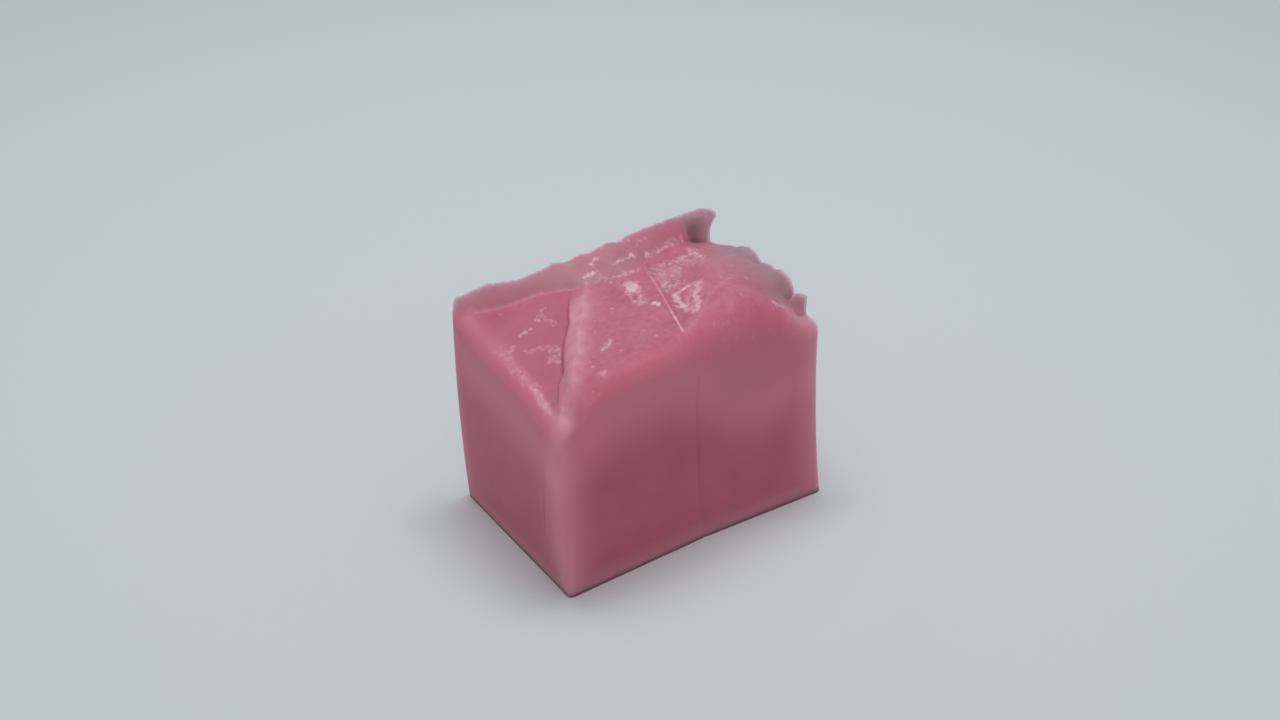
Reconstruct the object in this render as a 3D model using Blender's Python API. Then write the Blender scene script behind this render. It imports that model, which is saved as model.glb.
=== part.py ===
"""Uiro rice cake: one block of steamed rice-flour jelly, sliced on five sides and torn across the top.

The block stands on a sliced end. +X runs along the broad faces, +Y from the front face to the back,
+Z is up, and the origin is under the middle of the block. Sizes are in millimetres until the last step.
"""

import math

import bmesh
import bpy
from mathutils import Matrix, Vector, noise

# Driving dimensions of the sliced block, in millimetres
MM = 0.001
WIDTH = 50.0
DEPTH = 33.0
CORNER_RADIUS = 0.6
FOOT_SKEW = 1.2
FRONT_FOLD = 0.8
FOLD_X = 26.4
FOLD_FADES = (27.0, 36.0)
LEAN_HEIGHT = 30.0
# How far each upright edge leans by LEAN_HEIGHT, as (along X, along Y)
LEAN_FRONT_LEFT = (-1.3, 1.0)
LEAN_FRONT_RIGHT = (-0.9, 1.6)
LEAN_BACK_LEFT = (-1.1, 0.2)
LEAN_BACK_RIGHT = (-0.3, 0.4)

# Grid: cells along X and Y, the levels of the rows up the sides, and the rows spent on the front edge
CELLS_X = 48
CELLS_Y = 42
ROW_LEVELS = (0.0, 0.25, 0.5, 0.72, 0.85, 0.91, 0.96, 1.0)
EDGE_ROWS = 7

# Torn face: its level at the middle, its slopes along X and Y, and its uneven grain
TEAR_LEVEL = 35.85
TEAR_SLOPE_X = 0.053
TEAR_SLOPE_Y = -0.045
GRAIN_SIZE = 2.6
GRAIN_HEIGHT = 0.30
GRAIN_FADES = (36.0, 42.0)
BULGE_PLACE = (39.0, 11.0)
BULGE_REACH = 8.0
BULGE_RISE = 1.0
CORNER_FALL = 7.0
CORNER_FALL_REACH = 12.0

# The smooth facet left of the crack, and the crack's route, step and raised lip
FACET_LEVEL = 31.3
FACET_SLOPE_X = 0.013
FACET_SLOPE_Y = 0.115
FACET_DISH = 0.5
DISH_RUN = 0.4
DISH_REACH = 5.0
CRACK_END_Y = 29.0
CRACK_RUN = 0.70
CRACK_WAVE = 0.25
CRACK_STEP = 0.9
CRACK_LIP = 0.5

# The V-shaped notch, from its tip to its two far corners
NOTCH_TIP = (27.0, 2.8)
NOTCH_LEFT = (33.1, 26.6)
NOTCH_RIGHT = (43.4, 26.4)
NOTCH_DEPTH = 0.9
NOTCH_WALL = 0.8
NOTCH_BOW = 2.0
NOTCH_BACK_SLOPE = 2.5

# Crests of the back, right and left faces, as (place along the face, height)
BACK_CREST = (
    (0, 36.4), (2, 37.9), (7, 38.3), (13, 37.3), (19, 37.7),
    (26, 37.9), (36, 38.9), (46, 39.4), (50, 38.6),
)
RIGHT_CREST = (
    (0, 30.6), (3, 31.9), (7, 33.3), (9, 36.6), (16.7, 36.3),
    (18.5, 37.4), (20.8, 36.8), (24.8, 35.3), (31.4, 33.2),
)
LEFT_CREST = ((0, 29.0), (4.8, 30.6), (10, 32.4), (17, 33.6), (28, 34.2), (31, 34.8), (33, 36.0))
CREST_CRAG = 0.35
CRAG_RATE = 0.8
# The front face's upper end and the radius of the round above it, as (place along X, size)
FRONT_END = (
    (0, 27.0), (2.4, 30.2), (5, 32.6), (9, 34.6), (15, 35.5),
    (22, 35.6), (27, 33.4), (33, 30.6), (40, 29.0), (48, 28.0),
)
FRONT_ROUND = ((0, 0.8), (9, 0.9), (16, 1.3), (23, 2.6), (27, 4.5), (33, 7.0), (40, 8.0), (48, 4.0))
# The ledge where the back lip begins, as (place along X, distance from the front)
LEDGE = (
    (0, 32.2), (5, 30.4), (14, 30.2), (19, 28.4), (24, 25.6),
    (29, 25.2), (34, 27.4), (39, 29.6), (45, 31.4), (50, 31.9),
)
LEAST_LIP_SLOPE = 0.6
LIP_THICKNESS = 0.8
RIGHT_LIP_START = 6.0
LEFT_SHOULDER = 2.2
SHOULDER_DROP = 1.2
SHOULDER_FADE = 1.5

# The flap that curls out of the back right corner, and the tab on the right lip
FLAP_CURL = 1.8
FLAP_HEIGHT = 37.2
FLAP_REACH = 1.4
FLAP_START_Y = 31.6
FLAP_START_ACROSS = 0.9
TAB_PLACE_Y = 4.4
TAB_REACH = 1.2
TAB_RISE = 3.2
TAB_WIDTH = (3.0, 1.6)

JELLY_COLOUR = (0.64, 0.20, 0.27, 1.0)
JELLY_ROUGHNESS = 0.35


def smooth(value):
    value = min(max(value, 0.0), 1.0)
    return value * value * (3.0 - 2.0 * value)


def rise(value, start, end):
    """A soft step, 0 before start and 1 past end."""
    return smooth((value - start) / (end - start))


def bump(value, middle, reach):
    return math.exp(-(((value - middle) / reach) ** 2))


def along(value, stops):
    """The size at one place of an edge that is given as (place, size) stops."""
    for (start, low), (end, high) in zip(stops, stops[1:]):
        if value <= end:
            return low + (high - low) * max(0.0, value - start) / (end - start)
    return stops[-1][1]


def right_of(start, end, x, y):
    """How far a place is to the right of the line from start to end."""
    run_x, run_y = end[0] - start[0], end[1] - start[1]
    return ((x - start[0]) * run_y - (y - start[1]) * run_x) / math.hypot(run_x, run_y)


def in_notch(x, y):
    """1 on the floor of the notch and 0 outside it; its left wall is straight and its right one bows."""
    far = NOTCH_LEFT[1]
    way = min(max((y - NOTCH_TIP[1]) / (far - NOTCH_TIP[1]), 0.0), 1.0)
    past_left = right_of(NOTCH_TIP, NOTCH_LEFT, x, y)
    before_right = NOTCH_BOW * math.sin(math.pi * way) - right_of(NOTCH_TIP, NOTCH_RIGHT, x, y)
    walls = rise(past_left, 0.0, NOTCH_WALL) * rise(before_right, 0.0, 2.0 * NOTCH_WALL)
    return walls * (1.0 - rise(y, far - NOTCH_BACK_SLOPE / 2, far + NOTCH_BACK_SLOPE / 2))


def crack_x(y):
    """Place along X of the crack between the facet and the rest of the tear."""
    return CRACK_RUN * y + CRACK_WAVE * math.sin(CRACK_RUN * y)


def notch_x(y):
    """Place along X of the straight wall of the notch."""
    run = (NOTCH_LEFT[0] - NOTCH_TIP[0]) / (NOTCH_LEFT[1] - NOTCH_TIP[1])
    return NOTCH_TIP[0] + run * (y - NOTCH_TIP[1])


def tear_grain(x, y):
    return GRAIN_HEIGHT * noise.fractal(Vector((x / GRAIN_SIZE, y / GRAIN_SIZE, 0.0)), 0.8, 2.0, 3)


def crest_crag(place, seed):
    return CREST_CRAG * noise.noise(Vector((place * CRAG_RATE, seed, 0.0)))


def facet_height(x, y):
    dish = FACET_DISH * bump(x, DISH_RUN * y - 2.0, DISH_REACH)
    return FACET_LEVEL + FACET_SLOPE_X * x + FACET_SLOPE_Y * y - dish


def centre_height(x, y):
    """The tear right of the crack: a near level face with a bulge, a notch and a fallen corner."""
    height = TEAR_LEVEL + TEAR_SLOPE_X * (x - WIDTH / 2) + TEAR_SLOPE_Y * (y - DEPTH / 2)
    height += BULGE_RISE * bump(x, BULGE_PLACE[0], BULGE_REACH) * bump(y, BULGE_PLACE[1], BULGE_REACH)
    height -= NOTCH_DEPTH * in_notch(x, y)
    height -= CORNER_FALL * (1.0 - rise(math.hypot(x, 1.3 * y), 0.0, CORNER_FALL_REACH))
    height += CRACK_LIP * bump(x - crack_x(y), 1.2, 1.4)
    return height + tear_grain(x, y) * (1.0 - rise(x, *GRAIN_FADES))


def torn_height(x, y):
    """Height of the torn face over one place of the plan, up to the lips that stand round it."""
    facet = facet_height(x, y)
    height = facet + (centre_height(x, y) - facet) * rise(x - crack_x(y), 0.0, CRACK_STEP)
    shoulder = along(y, LEFT_CREST) - SHOULDER_DROP * (1.0 - rise(x, 0.0, LEFT_SHOULDER))
    height += (shoulder - height) * (1.0 - rise(x, LEFT_SHOULDER, LEFT_SHOULDER + SHOULDER_FADE))
    right = along(y, RIGHT_CREST) + crest_crag(y, 7.3)
    height += (right - height) * rise(x, WIDTH - RIGHT_LIP_START, WIDTH - LIP_THICKNESS)
    back = along(x, BACK_CREST) + crest_crag(x, 2.1)
    ledge = along(x, LEDGE)
    return height + (back - height) * rise(y, ledge, max(ledge + LEAST_LIP_SLOPE, DEPTH - LIP_THICKNESS))


def tab_height(x, y):
    start, end = TAB_WIDTH
    return TAB_RISE * bump(y, TAB_PLACE_Y, TAB_REACH) * rise(x, WIDTH - start, WIDTH - end)


def snap(value, line, cell):
    """Moves a value that is within half a cell of a line onto it."""
    return line if abs(value - line) < cell / 2 else value


def follow_lines(x, y):
    """Slides a grid point along X so that the grid follows the crack and the wall of the notch."""
    cell = WIDTH / CELLS_X
    if not cell < x < WIDTH - cell:
        return x
    if y < CRACK_END_Y:
        x = snap(snap(x, crack_x(y), cell), crack_x(y) + CRACK_STEP, cell)
    if NOTCH_TIP[1] < y < NOTCH_LEFT[1]:
        x = snap(snap(x, notch_x(y), cell), notch_x(y) + NOTCH_WALL, cell)
    return x


def top_point(x, row):
    """Place in the plan and height of a point of the top, whose first rows wrap round the front edge."""
    radius = along(x, FRONT_ROUND)
    if row >= EDGE_ROWS:
        cell = (DEPTH - radius) / (CELLS_Y - EDGE_ROWS)
        y = snap(radius + cell * (row - EDGE_ROWS), along(x, LEDGE), cell)
        x = follow_lines(x, y)
        height = torn_height(x, y)
    else:
        turn = math.pi / 2 * row / EDGE_ROWS
        y = radius * (1.0 - math.cos(turn))
        end = along(x, FRONT_END)
        height = end + (torn_height(x, radius) - end) * math.sin(turn)
    return x, y, height + tab_height(x, y)


def round_corners(x, y):
    """Pulls a place of the plan in, so that the block's upright edges are rounded."""
    centre_x = min(max(x, CORNER_RADIUS), WIDTH - CORNER_RADIUS)
    centre_y = min(max(y, CORNER_RADIUS), DEPTH - CORNER_RADIUS)
    off_x, off_y = x - centre_x, y - centre_y
    if not (off_x and off_y):
        return x, y
    pull = max(abs(off_x), abs(off_y)) / math.hypot(off_x, off_y)
    return centre_x + off_x * pull, centre_y + off_y * pull


def lean(axis, across, back, z):
    """How far the block leans along one axis at a height, blended from its four upright edges."""
    front = LEAN_FRONT_LEFT[axis] + (LEAN_FRONT_RIGHT[axis] - LEAN_FRONT_LEFT[axis]) * across
    rear = LEAN_BACK_LEFT[axis] + (LEAN_BACK_RIGHT[axis] - LEAN_BACK_LEFT[axis]) * across
    share = 1.0 - (1.0 - min(z / LEAN_HEIGHT, 1.0)) ** 2
    return share * (front + (rear - front) * back)


def settle(x, y, z):
    """Gives a point of the straight block the skew, fold, lean and curled corner of the real one."""
    across, back = x / WIDTH, y / DEPTH
    x, y = round_corners(x, y)
    skew = FOOT_SKEW * back * (1.0 - 0.6 * across)
    fold_side = FOLD_X if x < FOLD_X else WIDTH - FOLD_X
    fold = FRONT_FOLD * max(0.0, 1.0 - abs(x - FOLD_X) / fold_side) * (1.0 - back)
    at_flap = rise(across, FLAP_START_ACROSS, 1.0) * rise(back * DEPTH, FLAP_START_Y, FLAP_START_Y + 0.5)
    curl = FLAP_CURL * bump(z, FLAP_HEIGHT, FLAP_REACH) * at_flap
    x += skew + curl + lean(0, across, back, z)
    y += fold * (1.0 - rise(z, *FOLD_FADES)) + lean(1, across, back, z)
    return Vector((x, y, z))


def cut_edges_along(mesh, axis, pieces):
    """Cuts every edge of the box that runs along one axis into equal pieces."""
    edges = [edge for edge in mesh.edges if abs((edge.verts[0].co - edge.verts[1].co)[axis]) > 0.5]
    bmesh.ops.subdivide_edges(mesh, edges=edges, cuts=pieces - 1, use_grid_fill=True)


def split_top_quads(mesh):
    """Splits the quads of the top along the way that the crack and the notch run."""
    for face in [face for face in mesh.faces if all(vert.co.z > 0.49 for vert in face.verts)]:
        near = min(face.verts, key=lambda vert: vert.co.x + vert.co.y)
        far = max(face.verts, key=lambda vert: vert.co.x + vert.co.y)
        bmesh.utils.face_split(face, near, far)


def shape_block(mesh):
    """Moves each point of the divided unit cube to its place on the torn block."""
    for vert in mesh.verts:
        row = round((vert.co.y + 0.5) * CELLS_Y)
        level = ROW_LEVELS[round((vert.co.z + 0.5) * (len(ROW_LEVELS) - 1))]
        x, y, height = top_point((vert.co.x + 0.5) * WIDTH, row)
        vert.co = settle(x, y, height * level)


def flatten_foot(mesh):
    """Makes the sliced end that the block stands on one flat face."""
    foot = [face for face in mesh.faces if all(vert.co.z < 0.01 for vert in face.verts)]
    bmesh.ops.dissolve_faces(mesh, faces=foot)


def stand_on_origin(mesh):
    """Puts the origin under the middle of the block's box, and turns millimetres to metres."""
    lows = [min(vert.co[axis] for vert in mesh.verts) for axis in range(3)]
    highs = [max(vert.co[axis] for vert in mesh.verts) for axis in range(3)]
    middle = Vector(((lows[0] + highs[0]) / 2, (lows[1] + highs[1]) / 2, lows[2]))
    to_metres = Matrix.Scale(MM, 4) @ Matrix.Translation(-middle)
    bmesh.ops.transform(mesh, matrix=to_metres, verts=mesh.verts)


def jelly_material():
    material = bpy.data.materials.new("pink_jelly")
    material.use_nodes = True
    shader = material.node_tree.nodes["Principled BSDF"]
    shader.inputs["Base Color"].default_value = JELLY_COLOUR
    shader.inputs["Roughness"].default_value = JELLY_ROUGHNESS
    shader.inputs["Metallic"].default_value = 0.0
    return material


def build_block(collection):
    mesh = bmesh.new()
    bmesh.ops.create_cube(mesh, size=1.0)
    for axis, pieces in enumerate((CELLS_X, CELLS_Y, len(ROW_LEVELS) - 1)):
        cut_edges_along(mesh, axis, pieces)
    split_top_quads(mesh)
    shape_block(mesh)
    flatten_foot(mesh)
    stand_on_origin(mesh)
    bmesh.ops.triangulate(mesh, faces=mesh.faces)
    data = bpy.data.meshes.new("uiro_block")
    mesh.to_mesh(data)
    mesh.free()
    data.shade_smooth()
    data.materials.append(jelly_material())
    collection.objects.link(bpy.data.objects.new("uiro_block", data))


def clear_scene():
    for obj in list(bpy.data.objects):
        bpy.data.objects.remove(obj, do_unlink=True)


clear_scene()
rice_cake = bpy.data.collections.new("uiro_rice_cake")
bpy.context.scene.collection.children.link(rice_cake)
build_block(rice_cake)
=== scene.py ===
"""Looks of the uiro rice cake: the torn block of jelly, and the floor, light and view.

Places on the block are in millimetres from the front left corner of its foot, with X along the broad faces,
Y to the back and Z up, as on a straight block. settle() then gives them the lean and folds of the real one.
"""

import math

import bmesh
import bpy
import numpy
from mathutils import Matrix, Vector, noise


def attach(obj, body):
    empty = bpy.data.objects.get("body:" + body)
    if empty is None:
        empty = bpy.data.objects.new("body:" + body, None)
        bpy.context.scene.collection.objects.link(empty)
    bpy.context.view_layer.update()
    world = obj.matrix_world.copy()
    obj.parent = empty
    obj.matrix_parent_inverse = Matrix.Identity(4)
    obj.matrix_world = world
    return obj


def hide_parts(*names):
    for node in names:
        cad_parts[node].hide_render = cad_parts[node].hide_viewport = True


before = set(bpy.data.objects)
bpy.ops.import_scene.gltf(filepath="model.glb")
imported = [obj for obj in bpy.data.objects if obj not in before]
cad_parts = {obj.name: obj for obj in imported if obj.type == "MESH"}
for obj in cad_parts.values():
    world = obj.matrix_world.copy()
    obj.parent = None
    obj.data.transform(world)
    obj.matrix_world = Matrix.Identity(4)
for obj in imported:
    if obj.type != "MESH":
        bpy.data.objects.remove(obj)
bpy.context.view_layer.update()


# The block of jelly
# One piece of steamed rice-flour and sugar jelly. It was cut from its bar with a wet knife, which left five
# satin sides, and torn off at the top. The tear is a wet, translucent break with thin ragged lips, and
# nothing fixes the block: it stands on its sliced foot.

MM = 0.001
WIDTH = 50.0
DEPTH = 33.0
CORNER_RADIUS = 1.1
FRONT_LEFT_RADIUS = 2.0
FOOT_SHARPNESS = 0.3
FOOT_SHARP_HEIGHTS = (-2.0, 6.0)
FOOT_SKEW = 1.2
SKEW_FALL = 0.6
FRONT_FOLD = 0.8
FOLD_X = 26.4
FOLD_FADES = (27.0, 36.0)
LEAN_HEIGHT = 30.0
# How far each upright edge leans by LEAN_HEIGHT, as (along X, along Y)
LEAN_FRONT_LEFT = (-1.3, 1.0)
LEAN_FRONT_RIGHT = (-0.9, 1.6)
LEAN_BACK_LEFT = (-1.1, 0.2)
LEAN_BACK_RIGHT = (-0.3, 0.4)

# Grid of the fine skin: cells along X and Y, rows down the sides, and rows spent on the front edge.
# The first side rows are close together and draw in towards the crest, so that they round the torn lips.
CELLS_X = 300
CELLS_Y = 210
SIDE_ROWS = 26
EDGE_ROWS = 36
LIP_ROWS = 10
LIP_DEPTH = 2.4
LIP_ROUND = 0.32
LIP_PULL = 1.2
LIP_STARTS = (0.0, 2.0)

# Torn face: its level at the middle, its slopes along X and Y, and its uneven grain
TEAR_LEVEL = 35.85
TEAR_SLOPE_X = 0.053
TEAR_SLOPE_Y = -0.045
GRAIN_SIZE = 3.0
GRAIN_HEIGHT = 0.16
GRAIN_FADES = (36.0, 42.0)
GRAIN_LAYERS = (0.8, 2.0, 2)
BULGE_PLACE = (39.0, 11.0)
BULGE_REACH = 8.0
BULGE_RISE = 1.0
CORNER_FALL = 7.0
CORNER_FALL_REACH = 12.0
CORNER_FALL_STRETCH = 1.3

# The smooth facet left of the crack, and the crack's route, step and raised lip
FACET_LEVEL = 31.3
FACET_SLOPE_X = 0.013
FACET_SLOPE_Y = 0.115
FACET_DISH = 0.5
DISH_START = -2.0
DISH_RUN = 0.4
DISH_REACH = 5.0
CRACK_RUN = 0.70
CRACK_WAVE = 0.25
CRACK_STEP = 2.8
CRACK_SWELL = 0.5
LEAST_STEP = 0.7
CRACK_LIP = 0.05
CRACK_LIP_REACH = 2.0
CRACK_CUT = 0.25
CRACK_CUT_WIDTH = 0.22
CRACK_END = (24.0, 28.5)
CRACK_RAG = 0.35
CRACK_RAG_RATE = 0.55
CRACK_RAG_SEED = 4.1

# The V-shaped notch, from its tip to its two far corners, and the thin ridge along its straight wall
NOTCH_TIP = (25.9, 4.0)
NOTCH_LEFT = (32.9, 26.4)
NOTCH_RIGHT = (43.4, 26.4)
NOTCH_DEPTH = 0.6
NOTCH_WALL = 0.9
NOTCH_SOFT_WALL = 2.6
NOTCH_BOW = 2.6
NOTCH_BACK_SLOPE = 2.0
RIDGE_HEIGHT = 0.2
RIDGE_WIDTH = 0.18
RIDGE_STARTS = 0.8
RIDGE_FADES = 4.0
RIDGE_WET = 0.9
RIDGE_DRIES = (8.0, 14.0)
# The soft pale ridge beyond the notch's bowed wall
SOFT_RIDGE = ((26.2, 4.0), (29.7, 5.9), (32.4, 8.1), (34.7, 10.1), (39.8, 12.0), (42.8, 12.9))

# Crests of the back, right and left faces, as (place along the face, height)
BACK_CREST = (
    (0.2, 35.4), (0.5, 36.5), (1.1, 37.4), (3, 37.6), (6.8, 38.1), (8.2, 37.7), (12.2, 37.0), (18.2, 37.5),
    (18.8, 38.0), (20.2, 37.6), (21.5, 37.4), (24.2, 37.9), (25.7, 37.7), (28.5, 38.1), (29.4, 38.5),
    (30.9, 38.0), (32, 38.0), (33, 38.4), (36, 38.8), (42, 39.1), (48, 39.2), (50, 38.6),
)
BACK_SLOPE = (
    (0, 36.2), (2, 37.6), (7, 38.0), (13, 37.3), (19, 37.6), (26, 37.9), (36, 38.8), (46, 39.2), (50, 38.6),
)
RIGHT_CREST = (
    (0, 30.6), (2, 31.6), (4, 31.7), (7.2, 32.9), (7.5, 34.4), (8, 35.3), (8.5, 36.0), (9.7, 36.4),
    (11.1, 36.6), (12.7, 35.9), (13.8, 36.3), (15.6, 35.9), (16.3, 35.5), (17.2, 35.9), (18.4, 36.7),
    (19.8, 36.8), (21.5, 36.4), (23.3, 35.4), (25.6, 34.8), (28.5, 33.6), (31.4, 33.0),
)
RIGHT_SLOPE = (
    (0, 30.6), (4, 31.9), (7, 33.4), (10, 35.4), (14, 36.1), (20, 36.3), (25, 35.1), (31.4, 33.2),
)
LEFT_CREST = ((0, 29.0), (4.8, 30.4), (10, 32.0), (17, 33.3), (28, 34.1), (31, 34.8), (33, 36.0))
# Crags of the crests, and how far in from the edge they begin and are at their full height
CREST_CRAG = 0.11
CRAG_RATE = 1.1
CRAG_LAYERS = (0.7, 2.0, 3)
BACK_CRAG_SEED = 2.1
BACK_CRAG_REACH = (1.4, 0.42)
RIM_CRAG_SEED = 7.3
RIM_CRAG_REACH = (2.4, 0.48)
LOBE_ROUND = 0.25
LOBE_STEPS = (-1.0, -0.5, 0.0, 0.5, 1.0)
RIM_WRINKLE = 0.08
RIM_WRINKLE_RATES = (1.9, 0.5)
RIM_WRINKLE_SEED = 9.4
# The front face's upper end and the radius of the round above it, as (place along X, size)
FRONT_END = (
    (0, 26.6), (2.4, 27.6), (5, 29.2), (9, 31.6), (15, 33.0),
    (22, 32.6), (27, 30.0), (33, 26.0), (40, 24.0), (46, 26.0), (50, 29.0),
)
FRONT_ROUND = (
    (0, 2.4), (9, 3.6), (16, 4.0), (23, 4.4), (27, 5.2), (33, 7.5), (40, 8.5), (46, 5.0), (50, 2.5),
)
# The ledge where the back lip begins, as (place along X, distance from the front)
LEDGE = (
    (0, 32.2), (5, 30.4), (14, 30.2), (19, 28.6), (24, 26.2), (29, 25.6),
    (34, 27.6), (39, 29.6), (43.6, 30.4), (45.4, 32.0), (50, 31.7),
)
LEAST_LIP_SLOPE = 0.6
RAMP_FOOT = (-0.3, 0.25)
BACK_LIP_THICKNESS = 0.24
RIGHT_LIP_THICKNESS = 0.8
RIGHT_LIP_START = 11.0
LEFT_SHOULDER = 3.0
SHOULDER_DROP = 2.6
SHOULDER_FADE = 3.0
SHOULDER_END = 0.92
SHOULDER_ROUNDS = 40
# The soft place where the crack runs out over the front left edge
SOFT_CORNER = Vector((0.5, 1.5, 27.5))
SOFT_CORNER_REACH = 6.0
SOFT_CORNER_WIDTH = 1.1
SOFT_CORNER_FULL = 0.5
MELT_SPREAD = 2.5

# The flap that curls out of the back right corner, and the tab on the right lip
FLAP_CURL = 1.8
FLAP_HEIGHT = 37.2
FLAP_REACH = 1.4
FLAP_STARTS_X = (45.0, 50.0)
FLAP_STARTS_Y = (31.6, 32.1)
TAB_SIDES = ((3.9, 4.7), (6.4, 7.2))
TAB_RISE = ((4.2, 3.5), (6.4, 2.0))
TAB_WIDTH = (1.8, 0.9)
TAB_LEAN = 0.8
TAB_LEAN_HEIGHTS = (31.8, 35.4)
TAB_MIDDLE = 5.2
TAB_REACH = 1.8

# Creases of the sliced faces: the fold down the front, and the curved one on the left face
CREASE_DEPTH = 0.13
CREASE_WIDTH = 0.26
CREASE_FACE = (0.0, 1.0)
FRONT_CREASE_END = (31.0, 34.0)
LEFT_CREASE = ((8.0, 5.4), (18.0, 4.6), (26.0, 2.4), (29.0, 1.2))
LEFT_CREASE_START = (8.0, 12.0)
LEFT_CREASE_END = (27.0, 29.0)

# Low mounds under the wet patches, as (place, reach, rise)
MOUNDS = (((27.9, 21.2), 2.4, 0.55), ((34.0, 14.2), 2.4, 0.7))

# Fresh, wet marks of the tear, as (start, end, half width, strength), and how ragged their edges are.
# A mark's edge lies between these shares of its half width.
MARK_EDGE = (0.4, 1.4)
MARK_RAG = 0.55
MARK_RAG_RATE = 1.1
MARK_RAG_SEEDS = (2.6, 8.3)
WET_MARKS = (
    ((27.3, 22.4), (26.6, 20.2), 1.4, 1.0),
    ((26.6, 20.0), (26.0, 16.8), 1.3, 0.65),
    ((27.1, 14.9), (27.4, 13.9), 0.5, 1.0),
    ((31.0, 14.4), (30.4, 11.4), 0.7, 1.0),
    ((30.6, 11.4), (30.5, 8.5), 0.8, 0.9),
    ((31.2, 14.8), (35.6, 15.2), 0.5, 1.0),
    ((35.7, 14.6), (33.0, 11.4), 0.6, 1.0),
    ((33.0, 11.4), (31.2, 8.6), 0.6, 0.9),
    ((33.4, 13.2), (31.6, 11.6), 0.8, 0.6),
    ((34.4, 24.6), (31.8, 17.6), 1.6, 0.5),
    ((38.6, 24.6), (40.6, 21.4), 1.4, 0.35),
    ((34.0, 25.4), (40.4, 25.2), 0.7, 0.5),
    ((36.8, 23.0), (33.6, 18.4), 1.2, 0.4),
    ((42.4, 26.5), (41.6, 22.6), 0.9, 0.8),
    ((22.4, 28.7), (25.1, 28.5), 0.35, 0.7),
    ((24.7, 30.3), (26.4, 30.9), 0.4, 0.9),
    ((28.6, 28.7), (32.4, 29.2), 0.4, 0.9),
    ((34.5, 31.2), (36.1, 31.1), 0.25, 0.5),
    ((24.2, 26.8), (31.2, 25.8), 0.6, 0.6),
    ((34.9, 28.5), (43.7, 30.6), 0.5, 0.7),
    ((22.2, 27.4), (21.0, 25.2), 0.5, 0.35),
    ((13.6, 8.5), (15.9, 9.6), 0.5, 0.7),
    ((11.1, 24.4), (13.7, 26.3), 0.4, 0.6),
    ((12.5, 24.0), (12.7, 21.8), 0.5, 0.45),
    ((6.9, 22.4), (9.2, 23.3), 0.4, 0.6),
    ((2.8, 19.0), (4.6, 20.2), 0.4, 0.5),
    ((5.8, 18.2), (9.4, 17.4), 0.7, 0.4),
    ((9.6, 16.4), (8.2, 14.0), 1.0, 0.5),
    ((2.2, 21.0), (1.9, 15.0), 0.8, 0.3),
    ((2.1, 15.0), (2.5, 10.0), 0.9, 0.45),
    ((2.3, 10.0), (2.0, 5.6), 0.8, 0.4),
    ((44.1, 4.7), (45.9, 5.3), 0.6, 1.0),
    ((6.6, 1.4), (7.6, 1.2), 0.4, 0.5),
    ((9.6, 3.3), (10.5, 2.9), 0.4, 0.5),
)


def smooth(value):
    value = min(max(value, 0.0), 1.0)
    return value * value * (3.0 - 2.0 * value)


def rise(value, start, end):
    """A soft step, 0 before start and 1 past end."""
    return smooth((value - start) / (end - start))


def fall(value, start, end):
    return 1.0 - rise(value, start, end)


def ramp(value, start, end):
    """An even slope from 0 at start to 1 at end, rounded at its foot."""
    way = min(max((value - start) / (end - start), 0.0), 1.0)
    return way * rise(way, *RAMP_FOOT)


def bump(value, middle, reach):
    return math.exp(-(((value - middle) / reach) ** 2))


def quarter_round(value, reach):
    """1 at 0, falling to 0 at reach along a quarter circle that starts straight down."""
    off = 1.0 - min(value / reach, 1.0)
    return 1.0 - math.sqrt(max(0.0, 1.0 - off * off))


def along(value, stops):
    """The size at one place of an edge that is given as (place, size) stops."""
    for (start, low), (end, high) in zip(stops, stops[1:]):
        if value <= end:
            return low + (high - low) * max(0.0, value - start) / (end - start)
    return stops[-1][1]


def softly_along(value, stops, reach):
    """The same, with the corners at the stops rounded off."""
    return sum(along(value + reach * step, stops) for step in LOBE_STEPS) / len(LOBE_STEPS)


def right_of(start, end, x, y):
    """How far a place is to the right of the line from start to end."""
    run_x, run_y = end[0] - start[0], end[1] - start[1]
    return ((x - start[0]) * run_y - (y - start[1]) * run_x) / math.hypot(run_x, run_y)


def in_notch(x, y):
    """1 on the floor of the notch and 0 outside it; its left wall is straight and its right one bows."""
    far = NOTCH_LEFT[1]
    way = min(max((y - NOTCH_TIP[1]) / (far - NOTCH_TIP[1]), 0.0), 1.0)
    past_left = right_of(NOTCH_TIP, NOTCH_LEFT, x, y)
    before_right = NOTCH_BOW * math.sin(math.pi * way) - right_of(NOTCH_TIP, NOTCH_RIGHT, x, y)
    walls = rise(past_left, 0.0, NOTCH_WALL) * rise(before_right, 0.0, NOTCH_SOFT_WALL)
    return walls * fall(y, far - NOTCH_BACK_SLOPE / 2, far + NOTCH_BACK_SLOPE / 2)


def notch_ridge(x, y):
    """The thin ridge that stands along the straight wall of the notch."""
    near, far = NOTCH_TIP[1], NOTCH_LEFT[1]
    along_wall = rise(y, near, near + RIDGE_STARTS) * fall(y, far - RIDGE_FADES, far)
    return along_wall * bump(right_of(NOTCH_TIP, NOTCH_LEFT, x, y), -RIDGE_WIDTH, RIDGE_WIDTH)


def crack_x(y):
    """Place along X of the ragged crack between the facet and the rest of the tear."""
    rag = CRACK_RAG * noise.noise(Vector((y * CRACK_RAG_RATE, CRACK_RAG_SEED, 0.0)))
    return CRACK_RUN * y + CRACK_WAVE * math.sin(CRACK_RUN * y) + rag


def tear_grain(x, y):
    """Soft unevenness of the tear right of the crack; the bulge on the right is smooth."""
    grain = GRAIN_HEIGHT * noise.fractal(Vector((x / GRAIN_SIZE, y / GRAIN_SIZE, 0.0)), *GRAIN_LAYERS)
    return grain * rise(x - crack_x(y), 0.0, CRACK_STEP) * fall(x, *GRAIN_FADES)


def crest_crag(place, seed):
    return CREST_CRAG * noise.fractal(Vector((place * CRAG_RATE, seed, 0.0)), *CRAG_LAYERS)


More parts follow.
